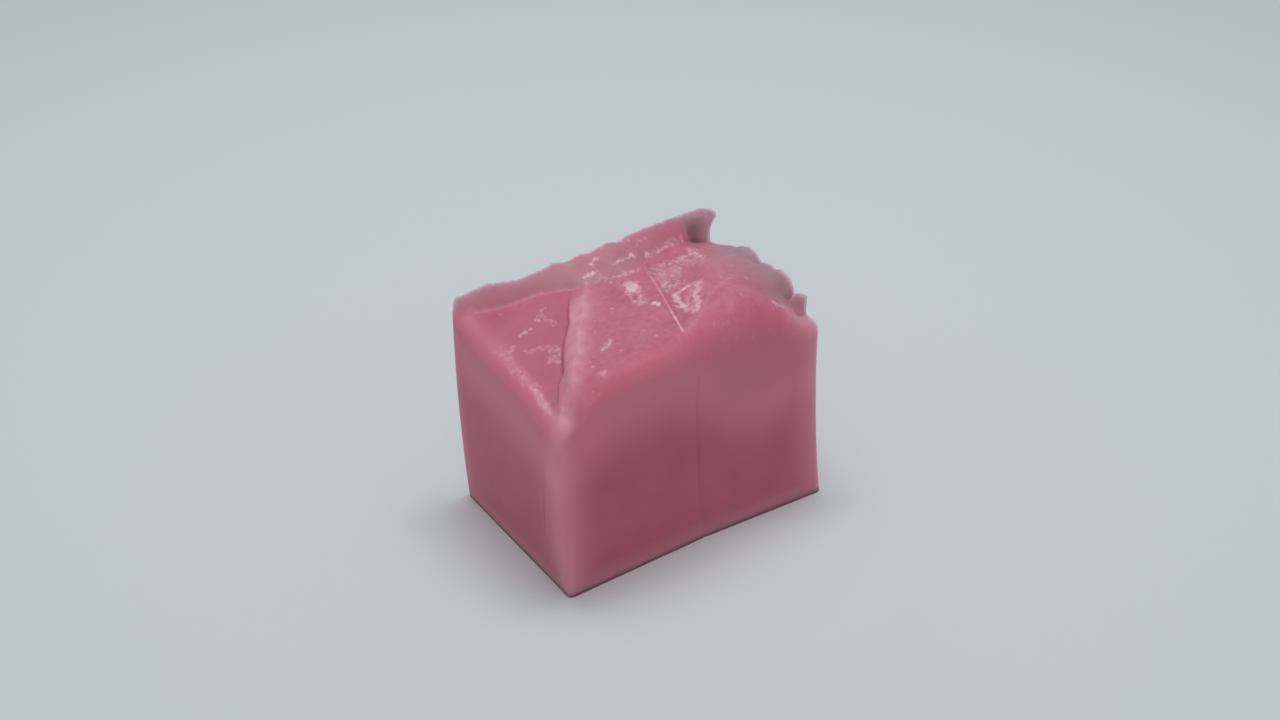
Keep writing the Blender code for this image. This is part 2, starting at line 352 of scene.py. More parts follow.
def facet_height(x, y):
    dish = FACET_DISH * bump(x, DISH_START + DISH_RUN * y, DISH_REACH)
    return FACET_LEVEL + FACET_SLOPE_X * x + FACET_SLOPE_Y * y - dish


def centre_height(x, y):
    """The tear right of the crack: a near level face with a bulge, a notch and a fallen corner."""
    height = TEAR_LEVEL + TEAR_SLOPE_X * (x - WIDTH / 2) + TEAR_SLOPE_Y * (y - DEPTH / 2)
    height += BULGE_RISE * bump(x, BULGE_PLACE[0], BULGE_REACH) * bump(y, BULGE_PLACE[1], BULGE_REACH)
    for (mound_x, mound_y), reach, mound in MOUNDS:
        height += mound * bump(math.hypot(x - mound_x, y - mound_y), 0.0, reach)
    height -= NOTCH_DEPTH * in_notch(x, y)
    height += RIDGE_HEIGHT * notch_ridge(x, y)
    height -= CORNER_FALL * fall(math.hypot(x, CORNER_FALL_STRETCH * y), 0.0, CORNER_FALL_REACH)
    return height + CRACK_LIP * bump(x - crack_x(y), CRACK_STEP, CRACK_LIP_REACH)


def right_lip(x, y):
    """Height that the tear climbs to at the right edge, with crags and wrinkles near the edge."""
    slope = along(y, RIGHT_SLOPE)
    ragged = softly_along(y, RIGHT_CREST, LOBE_ROUND) + crest_crag(y, RIM_CRAG_SEED)
    begin, full = RIM_CRAG_REACH
    slope += (ragged - slope) * rise(x, WIDTH - begin, WIDTH - full)
    along_rate, across_rate = RIM_WRINKLE_RATES
    wrinkle = noise.noise(Vector((y * along_rate, RIM_WRINKLE_SEED, x * across_rate)))
    return slope + RIM_WRINKLE * wrinkle


def back_lip(x, y):
    """Height that the tear climbs to at the back edge."""
    slope = along(x, BACK_SLOPE)
    ragged = along(x, BACK_CREST) + crest_crag(x, BACK_CRAG_SEED)
    begin, full = BACK_CRAG_REACH
    return slope + (ragged - slope) * rise(y, DEPTH - begin, DEPTH - full)


def torn_height(x, y):
    """Height of the torn face over one place of the plan, up to the lips that stand round it."""
    facet = facet_height(x, y)
    way = min(max((x - crack_x(y)) / CRACK_STEP, 0.0), 1.0)
    up_step = way + CRACK_SWELL * way * (1.0 - way)
    open_crack = fall(y, *CRACK_END)
    height = facet + max(centre_height(x, y) - facet, LEAST_STEP * open_crack) * up_step
    height -= CRACK_CUT * open_crack * bump(x - crack_x(y), 0.0, CRACK_CUT_WIDTH)
    shoulder = along(y, LEFT_CREST) - SHOULDER_DROP * quarter_round(x, LEFT_SHOULDER)
    height += (shoulder - height) * fall(x, LEFT_SHOULDER, LEFT_SHOULDER + SHOULDER_FADE)
    height += (right_lip(x, y) - height) * rise(x, WIDTH - RIGHT_LIP_START, WIDTH - RIGHT_LIP_THICKNESS)
    ledge = along(x, LEDGE)
    lip_top = max(ledge + LEAST_LIP_SLOPE, DEPTH - BACK_LIP_THICKNESS)
    return height + (back_lip(x, y) - height) * ramp(y, ledge, lip_top)


def on_tab(x):
    """1 on the tab and 0 inwards of it."""
    return rise(x, WIDTH - TAB_WIDTH[0], WIDTH - TAB_WIDTH[1])


def tab_height(x, y):
    start, end = TAB_SIDES
    return along(y, TAB_RISE) * rise(y, *start) * fall(y, *end) * on_tab(x)


def top_point(x, row):
    """Place in the plan and height of a point of the top, whose first rows wrap round the front edge."""
    radius = along(x, FRONT_ROUND)
    if row >= EDGE_ROWS:
        y = radius + (DEPTH - radius) * (row - EDGE_ROWS) / (CELLS_Y - EDGE_ROWS)
        height = torn_height(x, y) + tear_grain(x, y)
    else:
        turn = math.pi / 2 * row / EDGE_ROWS
        y = radius * (1.0 - math.cos(turn))
        end = along(x, FRONT_END) - SHOULDER_DROP * quarter_round(x, LEFT_SHOULDER)
        height = end + (torn_height(x, radius) - end) * math.sin(turn)
        height += tear_grain(x, y) * math.sin(turn) ** 2
    return x, y, height + tab_height(x, y)


def round_corners(x, y, z):
    """Pulls a place in, which rounds the upright edges; the front left one is sharp at its foot."""
    radius = CORNER_RADIUS
    if x < WIDTH / 2 and y < DEPTH / 2:
        softness = rise(z, *FOOT_SHARP_HEIGHTS)
        radius = FRONT_LEFT_RADIUS * (FOOT_SHARPNESS + (1.0 - FOOT_SHARPNESS) * softness)
    centre_x = min(max(x, radius), WIDTH - radius)
    centre_y = min(max(y, radius), DEPTH - radius)
    off_x, off_y = x - centre_x, y - centre_y
    if not (off_x and off_y):
        return x, y
    pull = max(abs(off_x), abs(off_y)) / math.hypot(off_x, off_y)
    return centre_x + off_x * pull, centre_y + off_y * pull


def lean(axis, across, back, z):
    """How far the block leans along one axis at a height, blended from its four upright edges."""
    front = LEAN_FRONT_LEFT[axis] + (LEAN_FRONT_RIGHT[axis] - LEAN_FRONT_LEFT[axis]) * across
    rear = LEAN_BACK_LEFT[axis] + (LEAN_BACK_RIGHT[axis] - LEAN_BACK_LEFT[axis]) * across
    share = 1.0 - (1.0 - min(z / LEAN_HEIGHT, 1.0)) ** 2
    return share * (front + (rear - front) * back)


def settle(x, y, z):
    """Gives a point of the straight block the skew, fold, lean, flap and tab of the real one."""
    across, back = x / WIDTH, y / DEPTH
    curl = FLAP_CURL * bump(z, FLAP_HEIGHT, FLAP_REACH) * rise(x, *FLAP_STARTS_X) * rise(y, *FLAP_STARTS_Y)
    tab_lean = TAB_LEAN * ramp(z, *TAB_LEAN_HEIGHTS) * on_tab(x) * bump(y, TAB_MIDDLE, TAB_REACH)
    x, y = round_corners(x, y, z)
    skew = FOOT_SKEW * back * (1.0 - SKEW_FALL * across)
    fold_side = FOLD_X if x < FOLD_X else WIDTH - FOLD_X
    fold = FRONT_FOLD * max(0.0, 1.0 - abs(x - FOLD_X) / fold_side) * (1.0 - back)
    x += skew + curl + lean(0, across, back, z)
    y += fold * fall(z, *FOLD_FADES) + lean(1, across, back, z) - tab_lean
    return Vector((x, y, z))


def side_height(row, crest):
    """Height of one row of the sides: close below the crest at first, then even down to the foot."""
    if row <= LIP_ROWS:
        return crest - LIP_DEPTH * (row / LIP_ROWS) ** 2
    return (crest - LIP_DEPTH) * (SIDE_ROWS - row) / (SIDE_ROWS - LIP_ROWS)


def lip_inset(x, y, below):
    """How far the rounded edge of a torn lip draws in at a depth below its crest."""
    return LIP_ROUND * quarter_round(below, LIP_ROUND) * rise(y, *LIP_STARTS) * rise(x, *LIP_STARTS)


def draw_in(x, y, inset):
    """Moves a place of the plan in from the right and back edges, where the lips stand."""
    return x - inset * rise(x, WIDTH - LIP_PULL, WIDTH), y - inset * rise(y, DEPTH - LIP_PULL, DEPTH)


def creases(x, y, z):
    """How far the folds of the left and front faces are pressed in at a place, as an offset."""
    front = bump(x, FOLD_X, CREASE_WIDTH) * fall(y, *CREASE_FACE) * fall(z, *FRONT_CREASE_END)
    left = bump(y, along(z, LEFT_CREASE), CREASE_WIDTH) * fall(x, *CREASE_FACE)
    left *= rise(z, *LEFT_CREASE_START) * fall(z, *LEFT_CREASE_END)
    return CREASE_DEPTH * Vector((left, front, 0.0))


def near_mark(x, y, start, end, half_width):
    """1 in the middle of a mark and 0 past its edge."""
    run = Vector(end) - Vector(start)
    off = Vector((x, y)) - Vector(start)
    way = min(max(off.dot(run) / run.length_squared, 0.0), 1.0)
    return fall((off - run * way).length / half_width, *MARK_EDGE)


def wetness(x, y):
    """Share of wet break at a place of the tear; the marks have ragged edges."""
    rag_x, rag_y = (
        MARK_RAG * noise.noise(Vector((x, y, seed)) * MARK_RAG_RATE) for seed in MARK_RAG_SEEDS
    )
    return max(
        strength * near_mark(x + rag_x, y + rag_y, start, end, half_width)
        for start, end, half_width, strength in WET_MARKS
    )


# Where the jelly is thin and greyer: the share of each thin place, and the stretches where it comes up or
# ends. The slope right of the bulge is greyed partly as painted shade, and the facet and the front right
# and back left corners as painted shade. Past THIN_SHARE it is the painted shade in the hollow of the
# curled flap.
THIN_SHARE = 0.7
SIDE_THIN = 0.5
SLOPE_THIN = 0.26
SLOPE_START = (35.0, 43.5)
RIM_START = (43.5, 48.8)
RIM_NEAR = (4.0, 7.0)
RIM_FAR = (22.0, 30.0)
RIM_LOW = 30.8
RIM_LOW_RISE = 1.7
RIM_LOW_START = (6.0, 10.0)
RIM_LOW_HEIGHT = 2.1
TAB_THIN = 0.68
TAB_FOOT = (0.0, 1.0)
TAB_LEVELS = (30.8, 32.4)
CORNER_THIN = 0.25
CORNER_START = (44.0, 49.0)
CORNER_END = (7.0, 9.0)
CORNER_LEVELS = (26.0, 31.0)
BACK_THIN = 0.42
BACK_THIN_START = (-0.9, 1.2)
BACK_THIN_LEVELS = (32.5, 34.5)
BACK_THIN_LESS = 0.4
BACK_THIN_LESSENS = (16.0, 26.0)
FLAP_RAG = 1.6
FLAP_RAG_RATE = 0.5
FLAP_RAG_SEED = 5.3
FLAP_THIN_X = (43.6, 46.0)
FLAP_THIN_Y = (30.9, 31.6)
FLAP_THIN_LEVELS = (31.5, 33.0)
FLAP_TIP_LESS = 0.25
FLAP_TIP_LESSENS = (46.2, 49.2)
OUTLINE_THIN = 0.12
OUTLINE_REACH = 3.0
FACET_THIN = 0.09
FACET_THIN_START = (1.0, 4.0)
FACET_THIN_END = (26.0, 29.0)
FACET_EDGE = (-0.4, 0.2)


def thinness_and_painted_shade(x, y, z):
    """How thin the jelly is, with painted shade: from 0 in the body to 1 in the shade painted at the flap's
    fold.
    """
    inward = SLOPE_THIN * rise(x, *SLOPE_START) + (1.0 - SLOPE_THIN) * rise(x, *RIM_START)
    low = RIM_LOW + RIM_LOW_RISE * rise(y, *RIM_LOW_START)
    rim = THIN_SHARE * inward * rise(z, low, low + RIM_LOW_HEIGHT)
    rim *= rise(y, *RIM_NEAR) * fall(y, *RIM_FAR)
    tab = TAB_THIN * rise(tab_height(x, y), *TAB_FOOT) * rise(z, *TAB_LEVELS)
    corner = CORNER_THIN * rise(x, *CORNER_START) * fall(y, *CORNER_END) * rise(z, *CORNER_LEVELS)
    back = BACK_THIN * rise(y - along(x, LEDGE), *BACK_THIN_START) * rise(z, *BACK_THIN_LEVELS)
    back *= 1.0 - BACK_THIN_LESS * rise(x, *BACK_THIN_LESSENS)
    fold_x = x + FLAP_RAG * noise.noise(Vector((FLAP_RAG_SEED, z * FLAP_RAG_RATE, 0.0)))
    flap = rise(fold_x, *FLAP_THIN_X) * rise(y, *FLAP_THIN_Y) * rise(z, *FLAP_THIN_LEVELS)
    flap *= 1.0 - FLAP_TIP_LESS * rise(x, *FLAP_TIP_LESSENS)
    off_outline = min(math.hypot(WIDTH - x, y), math.hypot(x, DEPTH - y))
    outline = OUTLINE_THIN * bump(off_outline, 0.0, OUTLINE_REACH)
    facet = FACET_THIN * fall(x - crack_x(y), *FACET_EDGE) * fall(y, *FACET_THIN_END)
    return max(rim, tab, corner, back, flap, outline, facet * rise(x, *FACET_THIN_START))


# How far light gets into the jelly at its cut and torn edges, and how much paler it looks there: this is
# glow painted into the colour. Then the share of each pale place of the tear, all painted light: glow
# through thin jelly and on the shoulder, lips and tab, and highlight lines along the ledge and ridges. Then
# the stretches where each comes up or ends. TOP_LIT and FOOT_LIT_HEIGHT set the painted glow of the sliced
# faces.
EDGE_GLOW = 2.6
FRONT_GLOW = 4.2
TOP_GLOW = 7.0
FRONT_PALE = 0.53
FRONT_PALE_RISE = 0.16
FRONT_PALE_LEVELS = (14.0, 24.0)
BACK_PALE = 0.4
TOP_PALE = 0.33
FOOT_PALE = 0.33
TOP_LIT = 0.46
TOP_LIT_MIDDLE = 4.5
TOP_LIT_REACH = 4.5
FOOT_LIT_HEIGHT = 2.4
SHOULDER_PALE_END = (0.5, 4.5)
LIP_PALE = 0.84
LIP_PALE_START = (0.1, 0.5)
LIP_PALE_END = (1.4, 7.0)
LIP_PALE_FAR = (22.0, 28.0)
LIP_MOTTLE = 0.5
LIP_MOTTLE_RATE = 0.6
LIP_MOTTLE_SEED = 6.1
SOFT_CORNER_PALE = 0.65
SOFT_CORNER_END = (3.0, 8.0)
RIGHT_PALE = 0.7
RIGHT_PALE_START = (43.0, 48.0)
RIGHT_PALE_FAR = (7.0, 9.5)
LEDGE_PALE = 0.85
LEDGE_LINE = (0.1, 0.35)
LEDGE_LESS = 0.8
LEDGE_LESSENS = (18.0, 24.0)
LEDGE_BREAKS = 0.5
LEDGE_BREAK_RATE = 0.9
LEDGE_BREAK_SEED = 2.7
BACK_LIP_PALE = 0.58
BACK_LIP_LESS = 0.36
BACK_LIP_LESSENS = (17.0, 25.0)
BACK_LIP_START = (-0.3, 0.6)
BACK_LIP_END = (43.0, 45.0)
RIDGE_PALE = 0.35
SOFT_RIDGE_PALE = 0.22
SOFT_RIDGE_REACH = 0.5
SOFT_RIDGE_START = (25.0, 27.0)
SOFT_RIDGE_END = (40.0, 43.0)
TAB_PALE = 0.85


def side_painted_glow(x, y, z, below):
    """Painted glow of the sliced faces near a cut edge, the foot and the top, where light comes into the
    jelly.
    """
    off_corner = min(y, DEPTH - y) if x in (0.0, WIDTH) else min(x, WIDTH - x)
    if y < DEPTH / 2:
        upright = FRONT_PALE + FRONT_PALE_RISE * rise(z, *FRONT_PALE_LEVELS)
        upright *= bump(off_corner, 0.0, FRONT_GLOW)
    else:
        upright = BACK_PALE * bump(off_corner, 0.0, EDGE_GLOW)
    foot = FOOT_PALE * bump(z, 0.0, EDGE_GLOW)
    top = TOP_PALE * bump(below, 0.0, TOP_GLOW)
    return max(upright, foot, top)


def edge_painted_glow(x, y):
    """How strong the painted glow of the tear is where it meets the sliced faces: as strong as theirs
    there.
    """
    off_corner = max(min(x, WIDTH - x), y)
    return max(TOP_PALE, (FRONT_PALE + FRONT_PALE_RISE) * bump(off_corner, 0.0, FRONT_GLOW))


def side_glow(z, below):
    """How far light that comes in at the torn edge, or up from below, lights a sliced face from inside."""
    return max(TOP_LIT * bump(below, TOP_LIT_MIDDLE, TOP_LIT_REACH), fall(z, 0.0, FOOT_LIT_HEIGHT))


def top_painted_light(x, y):
    """Painted light: glow on the tear's shoulder and lips and by the crack, highlights along the ledge and
    ridges.
    """
    shoulder = TOP_PALE * fall(x, *SHOULDER_PALE_END)
    past_crack = x - crack_x(y)
    lip = LIP_PALE * rise(past_crack, *LIP_PALE_START) * fall(past_crack, *LIP_PALE_END)
    lip *= fall(y, *LIP_PALE_FAR)
    lip *= 1.0 + LIP_MOTTLE * noise.noise(Vector((x, y, LIP_MOTTLE_SEED)) * LIP_MOTTLE_RATE)
    corner = SOFT_CORNER_PALE * fall(math.hypot(x, y), *SOFT_CORNER_END)
    right = RIGHT_PALE * rise(x, *RIGHT_PALE_START) * fall(y, *RIGHT_PALE_FAR)
    past_ledge = y - along(x, LEDGE)
    ledge = LEDGE_PALE * bump(past_ledge, *LEDGE_LINE) * (1.0 - LEDGE_LESS * rise(x, *LEDGE_LESSENS))
    ledge *= 1.0 + LEDGE_BREAKS * noise.noise(Vector((x * LEDGE_BREAK_RATE, LEDGE_BREAK_SEED, 0.0)))
    back = BACK_LIP_PALE - BACK_LIP_LESS * rise(x, *BACK_LIP_LESSENS)
    back *= rise(past_ledge, *BACK_LIP_START) * fall(x, *BACK_LIP_END)
    soft_ridge = SOFT_RIDGE_PALE * bump(y, along(x, SOFT_RIDGE), SOFT_RIDGE_REACH)
    soft_ridge *= rise(x, *SOFT_RIDGE_START) * fall(x, *SOFT_RIDGE_END)
    ridge = RIDGE_PALE * notch_ridge(x, y)
    tab = TAB_PALE * rise(tab_height(x, y), *TAB_FOOT)
    return max(shoulder, lip, corner, right, ledge, back, soft_ridge, ridge, tab)


# Shares of each point that the relief and the finish read; the pale and glow shares are painted light. The
# torn finish reaches a little way down below a crest, and starts a little way in on the rows of the front
# edge.
# A painted highlight line runs along the crests of the lips, with the width and start given here.
SHARES = ("torn", "wet", "thin_and_shade", "pale", "glow")
TORN_BELOW = (0.2, 0.5)
TORN_START = (0.1, 1.1)
FACET_SMOOTH = 0.7
FACET_SMOOTH_END = (28.0, 30.0)
LIP_HIGHLIGHT = 0.34
LIP_HIGHLIGHT_START = (20.0, 30.0)


def side_shares(x, y, z, below):
    """Torn, wet, pale and glow shares of a point of the sliced faces; pale and glow are painted light."""
    torn = 0.0 if x == 0.0 or y == 0.0 else fall(below, *TORN_BELOW)
    return torn, 0.0, side_painted_glow(x, y, z, below), side_glow(z, below)


def top_shares(x, y, z, row):
    """The same shares of a point of the tear."""
    on_facet = fall(x - crack_x(y), *FACET_EDGE) * fall(y, *FACET_SMOOTH_END)
    off_left = rise(x, 0.0, LEFT_SHOULDER)
    torn = rise(row / EDGE_ROWS, *TORN_START) * off_left * (1.0 - FACET_SMOOTH * on_facet)
    wet = max(wetness(x, y), RIDGE_WET * notch_ridge(x, y) * fall(y, *RIDGE_DRIES))
    off_edge = rise(row / EDGE_ROWS, 0.0, 1.0) * off_left
    pale = edge_painted_glow(x, y)
    pale += (top_painted_light(x, y) - pale) * off_edge
    return torn, wet, pale, side_glow(z, 0.0) * (1.0 - off_edge)


def skin_point(u, v, row):
    """Place of a point of the skin, with its torn, wet, thin-and-painted-shade, painted pale and painted
    glow shares.
    """
    x, y, crest = top_point(u * WIDTH, v * CELLS_Y)
    z = side_height(row, crest)
    inset = lip_inset(x, y, crest - z)
    thin_and_shade = thinness_and_painted_shade(x, y, z)
    if row:
        torn, wet, pale, glow = side_shares(x, y, z, crest - z)
        thin_and_shade = min(thin_and_shade, SIDE_THIN)
        pressed = creases(x, y, z)
        to_edge = 2.0 * LIP_HIGHLIGHT * (1.0 - inset / LIP_ROUND)
    else:
        torn, wet, pale, glow = top_shares(x, y, z, v * CELLS_Y)
        pressed = Vector()
        to_edge = min(WIDTH - x, DEPTH - y)
    # A painted highlight line along the crest of a lip: paler, and less lilac
    painted_lip_highlight = bump(to_edge, 0.0, LIP_HIGHLIGHT) * rise(x + y, *LIP_HIGHLIGHT_START)
    shares = (torn, wet, thin_and_shade * (1.0 - painted_lip_highlight), max(pale, painted_lip_highlight), glow)
    x, y = draw_in(x, y, inset)
    return settle(x, y, z) + pressed, shares


def skin_grid():
    """The top as a grid on the unit square, with its rim drawn down row by row and closed by the foot."""
    grid = bmesh.new()
    bmesh.ops.create_grid(grid, x_segments=CELLS_X, y_segments=CELLS_Y, size=0.5)
    rim = [edge for edge in grid.edges if edge.is_boundary]
    for _row in range(SIDE_ROWS):
        drawn = bmesh.ops.extrude_edge_only(grid, edges=rim)["geom"]
        rim = [part for part in drawn if isinstance(part, bmesh.types.BMEdge)]
        drawn_verts = {vert for edge in rim for vert in edge.verts}
        bmesh.ops.translate(grid, vec=(0.0, 0.0, -1.0), verts=list(drawn_verts))
    bmesh.ops.contextual_create(grid, geom=rim)
    return grid


def soften(grid, verts, rounds):
    """Evens out the creases among some points of the skin."""
    every_way = {"use_axis_x": True, "use_axis_y": True, "use_axis_z": True}
    for _round in range(rounds):
        bmesh.ops.smooth_vert(grid, verts=verts, factor=0.5, **every_way)


def melt(grid, middle, reach, width):
    """Rounds the skin over inside a ball: its points move to the mean of the skin's area near them."""
    near = [vert for vert in grid.verts if (vert.co - middle).length < reach + MELT_SPREAD * width]
    places = numpy.array([vert.co for vert in near])
    areas = numpy.array([sum(face.calc_area() for face in vert.link_faces) for vert in near])
    for vert, place in zip(near, places):
        share = fall((vert.co - middle).length, SOFT_CORNER_FULL * reach, reach)
        if share:
            weights = areas * numpy.exp(-(((places - place) ** 2).sum(axis=1)) / (2.0 * width * width))
            vert.co = vert.co.lerp(Vector(weights @ places / weights.sum()), share)


# The foot's points lie below the first, and a fold sharper than the second stays a crisp edge
FOOT_LEVEL = 0.01
SHARPEST_FOLD = math.radians(75.0)


def make_block():
    """The fine block: every point of the grid goes to its place, and its shares become attributes."""
    grid = skin_grid()
    masks = [grid.verts.layers.float.new(name) for name in SHARES]
    shoulder = []
    for vert in grid.verts:
        u, v, row = round(vert.co.x + 0.5, 6), round(vert.co.y + 0.5, 6), round(-vert.co.z)
        place, shares = skin_point(u, v, row)
        vert.co = place
        for mask, share in zip(masks, shares):
            vert[mask] = share
        if u * WIDTH < LEFT_SHOULDER and v < SHOULDER_END and row < LIP_ROWS:
            shoulder.append(vert)
    soften(grid, shoulder, SHOULDER_ROUNDS)
    melt(grid, SOFT_CORNER, SOFT_CORNER_REACH, SOFT_CORNER_WIDTH)
    stand_on_frame(grid)
    bmesh.ops.recalc_face_normals(grid, faces=grid.faces)
    data = bpy.data.meshes.new("uiro_jelly")
    grid.to_mesh(data)
    grid.free()
    data.shade_smooth()
    data.set_sharp_from_angle(angle=SHARPEST_FOLD)
    block = bpy.data.objects.new("uiro_jelly", data)
    bpy.context.scene.collection.objects.link(block)
    return block


def stand_on_frame(grid):
    """Turns millimetres to metres and puts the foot where the frame's own block has it."""
    solid = [vert.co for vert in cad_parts["uiro_block"].data.vertices]
    foot_corner = [min(co[axis] for co in solid if co.z < FOOT_LEVEL * MM) for axis in (0, 1)]
    own_corner = [min(vert.co[axis] for vert in grid.verts if vert.co.z < FOOT_LEVEL) for axis in (0, 1)]
    shift = Vector((foot_corner[0] - own_corner[0] * MM, foot_corner[1] - own_corner[1] * MM, 0.0))
    bmesh.ops.transform(grid, matrix=Matrix.Translation(shift) @ Matrix.Scale(MM, 4), verts=grid.verts)


def add_node(tree, kind, inputs=None, **settings):
    """Adds a node, with each input either linked from a socket or set to a value."""
    node = tree.nodes.new(kind)
    for name, value in settings.items():
        setattr(node, name, value)
    for name, value in (inputs or {}).items():
        if isinstance(value, bpy.types.NodeSocket):
            tree.links.new(value, node.inputs[name])
        else:
            node.inputs[name].default_value = value
    return node


def calculate(tree, operation, first, second):
    return add_node(tree, "ShaderNodeMath", {0: first, 1: second}, operation=operation).outputs[0]


def new_tree(name, sockets):
    """A Geometry Nodes tree with a mesh in and out, and its named inputs."""
    tree = bpy.data.node_groups.new(name, "GeometryNodeTree")
    tree.is_modifier = True
    tree.interface.new_socket("Geometry", in_out="INPUT", socket_type="NodeSocketGeometry")
    tree.interface.new_socket("Geometry", in_out="OUTPUT", socket_type="NodeSocketGeometry")
    for socket_name, kind in sockets:
        tree.interface.new_socket(socket_name, in_out="INPUT", socket_type=kind)
    return tree


def finish_tree(tree, geometry, material):
    """Ends a tree in real mesh with its material."""
    real = add_node(tree, "GeometryNodeRealizeInstances", {"Geometry": geometry})
    painted = add_node(tree, "GeometryNodeSetMaterial", {"Geometry": real.outputs[0], "Material": material})
    add_node(tree, "NodeGroupOutput", {"Geometry": painted.outputs[0]})


def run_tree(piece, tree, values):
    """Runs a tree on a piece with these inputs and keeps the result as its plain mesh."""
    modifier = piece.modifiers.new(tree.name, "NODES")
    modifier.node_group = tree
    for item in tree.interface.items_tree:
        if item.in_out == "INPUT" and item.name in values:
            modifier[item.identifier] = values[item.name]
    depsgraph = bpy.context.evaluated_depsgraph_get()
    made = bpy.data.meshes.new_from_object(
        piece.evaluated_get(depsgraph), preserve_all_data_layers=True, depsgraph=depsgraph
    )
    piece.modifiers.clear()
    piece.data = made
    made.name = piece.name


def noise_field(tree, size, seed, detail):
    scale = calculate(tree, "DIVIDE", 1.0, size)
    inputs = {"W": seed, "Scale": scale, "Detail": detail}
    return add_node(tree, "ShaderNodeTexNoise", inputs, noise_dimensions="4D").outputs[0]


def span(tree, value, start, end):
    """A value mapped so that start gives 0 and end gives 1, and cut off there."""
    inputs = {"Value": value, "From Min": start, "From Max": end}
    return add_node(tree, "ShaderNodeMapRange", inputs).outputs[0]


# Patterns of the relief: how fine each noise is, and the levels of it that make ridges, crumbs and specks
COARSE_DETAIL = 1.0
FINE_DETAIL = 2.0
FROST_RIDGE = 0.10
FROST_RIDGE_SHARE = 0.45
FROST_CRUMBS = (0.42, 0.64)
CRUMB_SHRINK = 0.5
SPECK_EDGE = (0.30, 0.14)
SPECK_CLUSTERS = (0.48, 0.58)
CLUSTER_SPREAD = 3.0
# The wettest places get solid frost colour as a painted glint
PAINTED_GLINT_CORE = (0.7, 1.0)
PAINTED_GLINT_SHARE = 0.7


def frost_pattern(tree, size, seed):
    """Winding ridges and crumbs, 0 to 1: what a wet break of the jelly looks like close up."""
    winding = calculate(tree, "SUBTRACT", noise_field(tree, size, seed, COARSE_DETAIL), 0.5)
    winding = calculate(tree, "ABSOLUTE", winding, 0.0)
    ridges = calculate(tree, "MULTIPLY", span(tree, winding, FROST_RIDGE, 0.0), FROST_RIDGE_SHARE)
    crumb_size = calculate(tree, "MULTIPLY", size, CRUMB_SHRINK)
    crumbs = span(tree, noise_field(tree, crumb_size, seed, FINE_DETAIL), *FROST_CRUMBS)
    return calculate(tree, "MAXIMUM", ridges, crumbs)


def speck_pattern(tree, size, seed):
    """Small crumbs here and there, of uneven size, 0 to 1."""
    inputs = {"W": seed, "Scale": calculate(tree, "DIVIDE", 1.0, size)}
    cells = add_node(tree, "ShaderNodeTexVoronoi", inputs, voronoi_dimensions="4D")
    specks = span(tree, cells.outputs["Distance"], *SPECK_EDGE)
    cluster_size = calculate(tree, "MULTIPLY", size, CLUSTER_SPREAD)
    clusters = span(tree, noise_field(tree, cluster_size, seed, COARSE_DETAIL), *SPECK_CLUSTERS)
    return calculate(tree, "MULTIPLY", specks, clusters)


def relief_tree():
    """Fine relief of the tear: grain and specks all over, and crisp ridges and crumbs where it is wet."""
    tree = new_tree("tear_relief", (
        ("Grain Size", "NodeSocketFloat"), ("Grain Height", "NodeSocketFloat"),
        ("Crumb Size", "NodeSocketFloat"), ("Crumb Height", "NodeSocketFloat"),
        ("Speck Spacing", "NodeSocketFloat"), ("Speck Share", "NodeSocketFloat"),
        ("Seed", "NodeSocketFloat"), ("Jelly", "NodeSocketMaterial"),
    ))
    given = add_node(tree, "NodeGroupInput").outputs
    torn, wet, thin_and_shade = (
        add_node(tree, "GeometryNodeInputNamedAttribute", {"Name": name}, data_type="FLOAT").outputs[0]
        for name in ("torn", "wet", "thin_and_shade")
    )
    body = calculate(tree, "MULTIPLY", torn, calculate(tree, "SUBTRACT", 1.0, thin_and_shade))
    grain = noise_field(tree, given["Grain Size"], given["Seed"], COARSE_DETAIL)
    grain = calculate(tree, "MULTIPLY", calculate(tree, "SUBTRACT", grain, 0.5), body)
    wet_crumbs = calculate(tree, "MULTIPLY", frost_pattern(tree, given["Crumb Size"], given["Seed"]), wet)
    specks = calculate(tree, "MULTIPLY", speck_pattern(tree, given["Speck Spacing"], given["Seed"]), body)
    specks = calculate(tree, "MULTIPLY", specks, given["Speck Share"])
    crumbs = calculate(tree, "MAXIMUM", wet_crumbs, specks)
    # Painted glint: solid frost colour on the wettest places
    painted_glint = calculate(tree, "MULTIPLY", span(tree, wet, *PAINTED_GLINT_CORE), PAINTED_GLINT_SHARE)
    frost_and_glint = calculate(tree, "MAXIMUM", crumbs, painted_glint)
    height = calculate(
        tree, "ADD",
        calculate(tree, "MULTIPLY", grain, given["Grain Height"]),
        calculate(tree, "MULTIPLY", crumbs, given["Crumb Height"]),
    )
    normal = add_node(tree, "GeometryNodeInputNormal").outputs[0]
    offset = add_node(tree, "ShaderNodeVectorMath", {0: normal, "Scale": height}, operation="SCALE")
    # The stored share is the pale frost of the break, partly painted glints, for the finish to colour
    kept = add_node(
        tree, "GeometryNodeStoreNamedAttribute",
        {"Geometry": given["Geometry"], "Name": "frost_and_glint", "Value": frost_and_glint}, data_type="FLOAT", domain="POINT",
    )
    moved = add_node(
        tree, "GeometryNodeSetPosition", {"Geometry": kept.outputs[0], "Offset": offset.outputs[0]}
    )
    finish_tree(tree, moved.outputs[0], given["Jelly"])
    return tree


# Finish of the jelly: pink starch gel, deeper where it is sliced, greyish lilac where a lip is thin, and
# frosted where the break is wet. Painted into the colour: glow at the cut edges and the foot, highlight
# lines, glints in the wet cores, shade in the flap's hollow and on some greyed places, and a red shade
# along the foot.
SLICED_PINK = ((0.605, 0.137, 0.205, 1.0), (0.635, 0.155, 0.228, 1.0))
TORN_PINK = ((0.58, 0.144, 0.222, 1.0), (0.695, 0.230, 0.317, 1.0))
